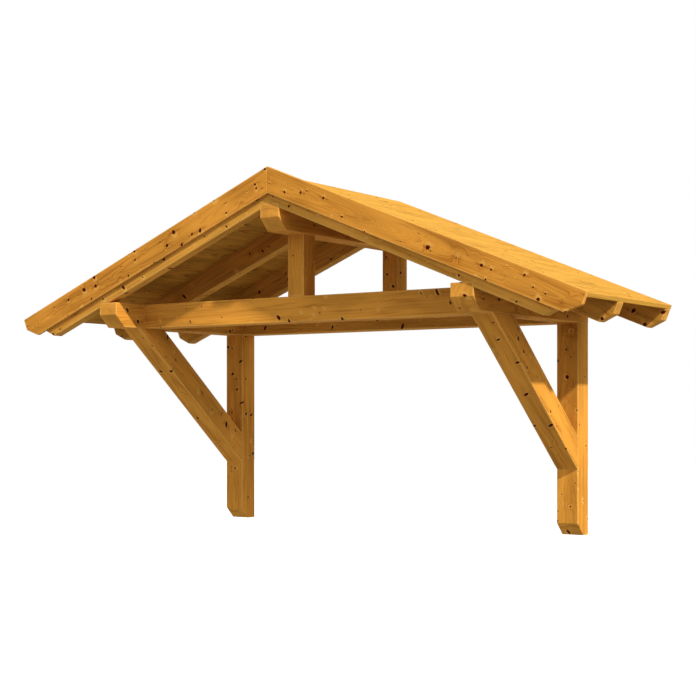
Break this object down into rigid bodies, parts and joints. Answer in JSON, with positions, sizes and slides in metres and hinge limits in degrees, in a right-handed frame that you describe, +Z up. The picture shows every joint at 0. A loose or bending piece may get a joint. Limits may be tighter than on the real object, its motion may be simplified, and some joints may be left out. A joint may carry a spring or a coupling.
{
  "type": "timber porch canopy",
  "caption": "Open gabled timber canopy for over a house door: wall posts with knee braces carry purlins, tie beams, king posts, rafters, roof boards and mitred barge boards.",
  "frame": {"origin": "centre of the rear tie beam's back face, on the wall plane at the middle of the canopy", "axes": "+X along the wall to the right as seen from the front, +Y into the wall, +Z up"},
  "size_m": [3.4442, 1.21, 1.8427],
  "materials": {
    "frame_timber": "planed softwood with a honey-coloured satin stain",
    "rafter_timber": "planed softwood with a honey-coloured satin stain",
    "roof_boards": "planed tongue-and-groove boards with a honey-coloured satin stain",
    "barge_timber": "planed softwood board with a honey-coloured satin stain"
  },
  "bodies": {
    "root": {"left_wall_post": "frame_timber", "right_wall_post": "frame_timber", "left_knee_brace": "frame_timber", "right_knee_brace": "frame_timber", "left_eaves_purlin": "frame_timber", "right_eaves_purlin": "frame_timber", "ridge_purlin": "frame_timber", "rear_tie_beam": "frame_timber", "front_tie_beam": "frame_timber", "rear_king_post": "frame_timber", "front_king_post": "frame_timber", "rear_left_rafter": "rafter_timber", "rear_right_rafter": "rafter_timber", "middle_left_rafter": "rafter_timber", "middle_right_rafter": "rafter_timber", "front_left_rafter": "rafter_timber", "front_right_rafter": "rafter_timber", "left_roof_deck": "roof_boards", "right_roof_deck": "roof_boards", "left_barge_board": "barge_timber", "right_barge_board": "barge_timber"}
  },
  "joints": []
}
